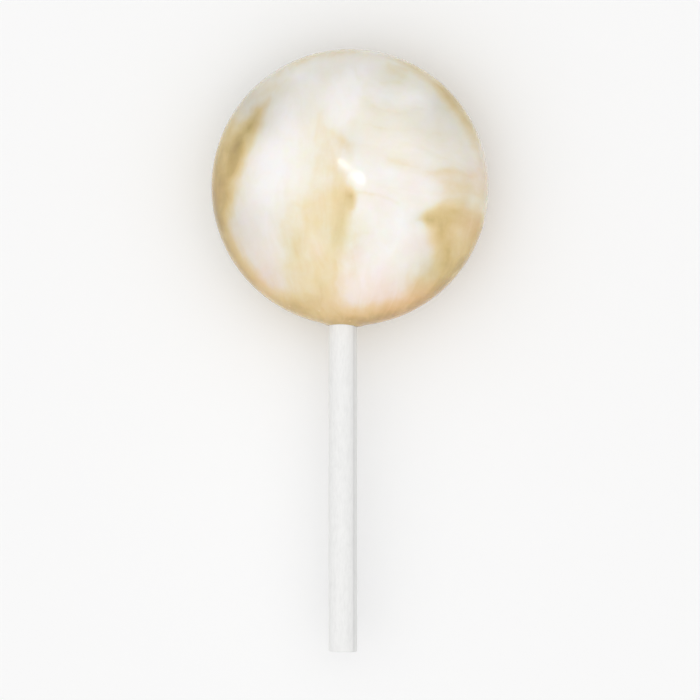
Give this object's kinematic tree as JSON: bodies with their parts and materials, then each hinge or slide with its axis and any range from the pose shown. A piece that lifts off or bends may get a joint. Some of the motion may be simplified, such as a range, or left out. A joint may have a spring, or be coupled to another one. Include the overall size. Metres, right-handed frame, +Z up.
{
  "type": "swirl lollipop",
  "caption": "Round flattened-ball hard candy with white folds swirled through clear amber, on a rolled white paper stick, lying face up.",
  "frame": {"origin": "middle of the small flat spot on the head's back, on which the lollipop rests", "axes": "+Y from the stick towards the far side of the head, +Z up out of the head's shown face, +X to the right when seen from above with the stick pointing down"},
  "size_m": [0.0448, 0.097, 0.0198],
  "materials": {
    "candy": "glossy hard candy, opaque white folds fading into clear amber",
    "stick_paper": "matt white rolled paper"
  },
  "bodies": {
    "root": {"candy_head": "candy", "paper_stick": "stick_paper"}
  },
  "joints": []
}
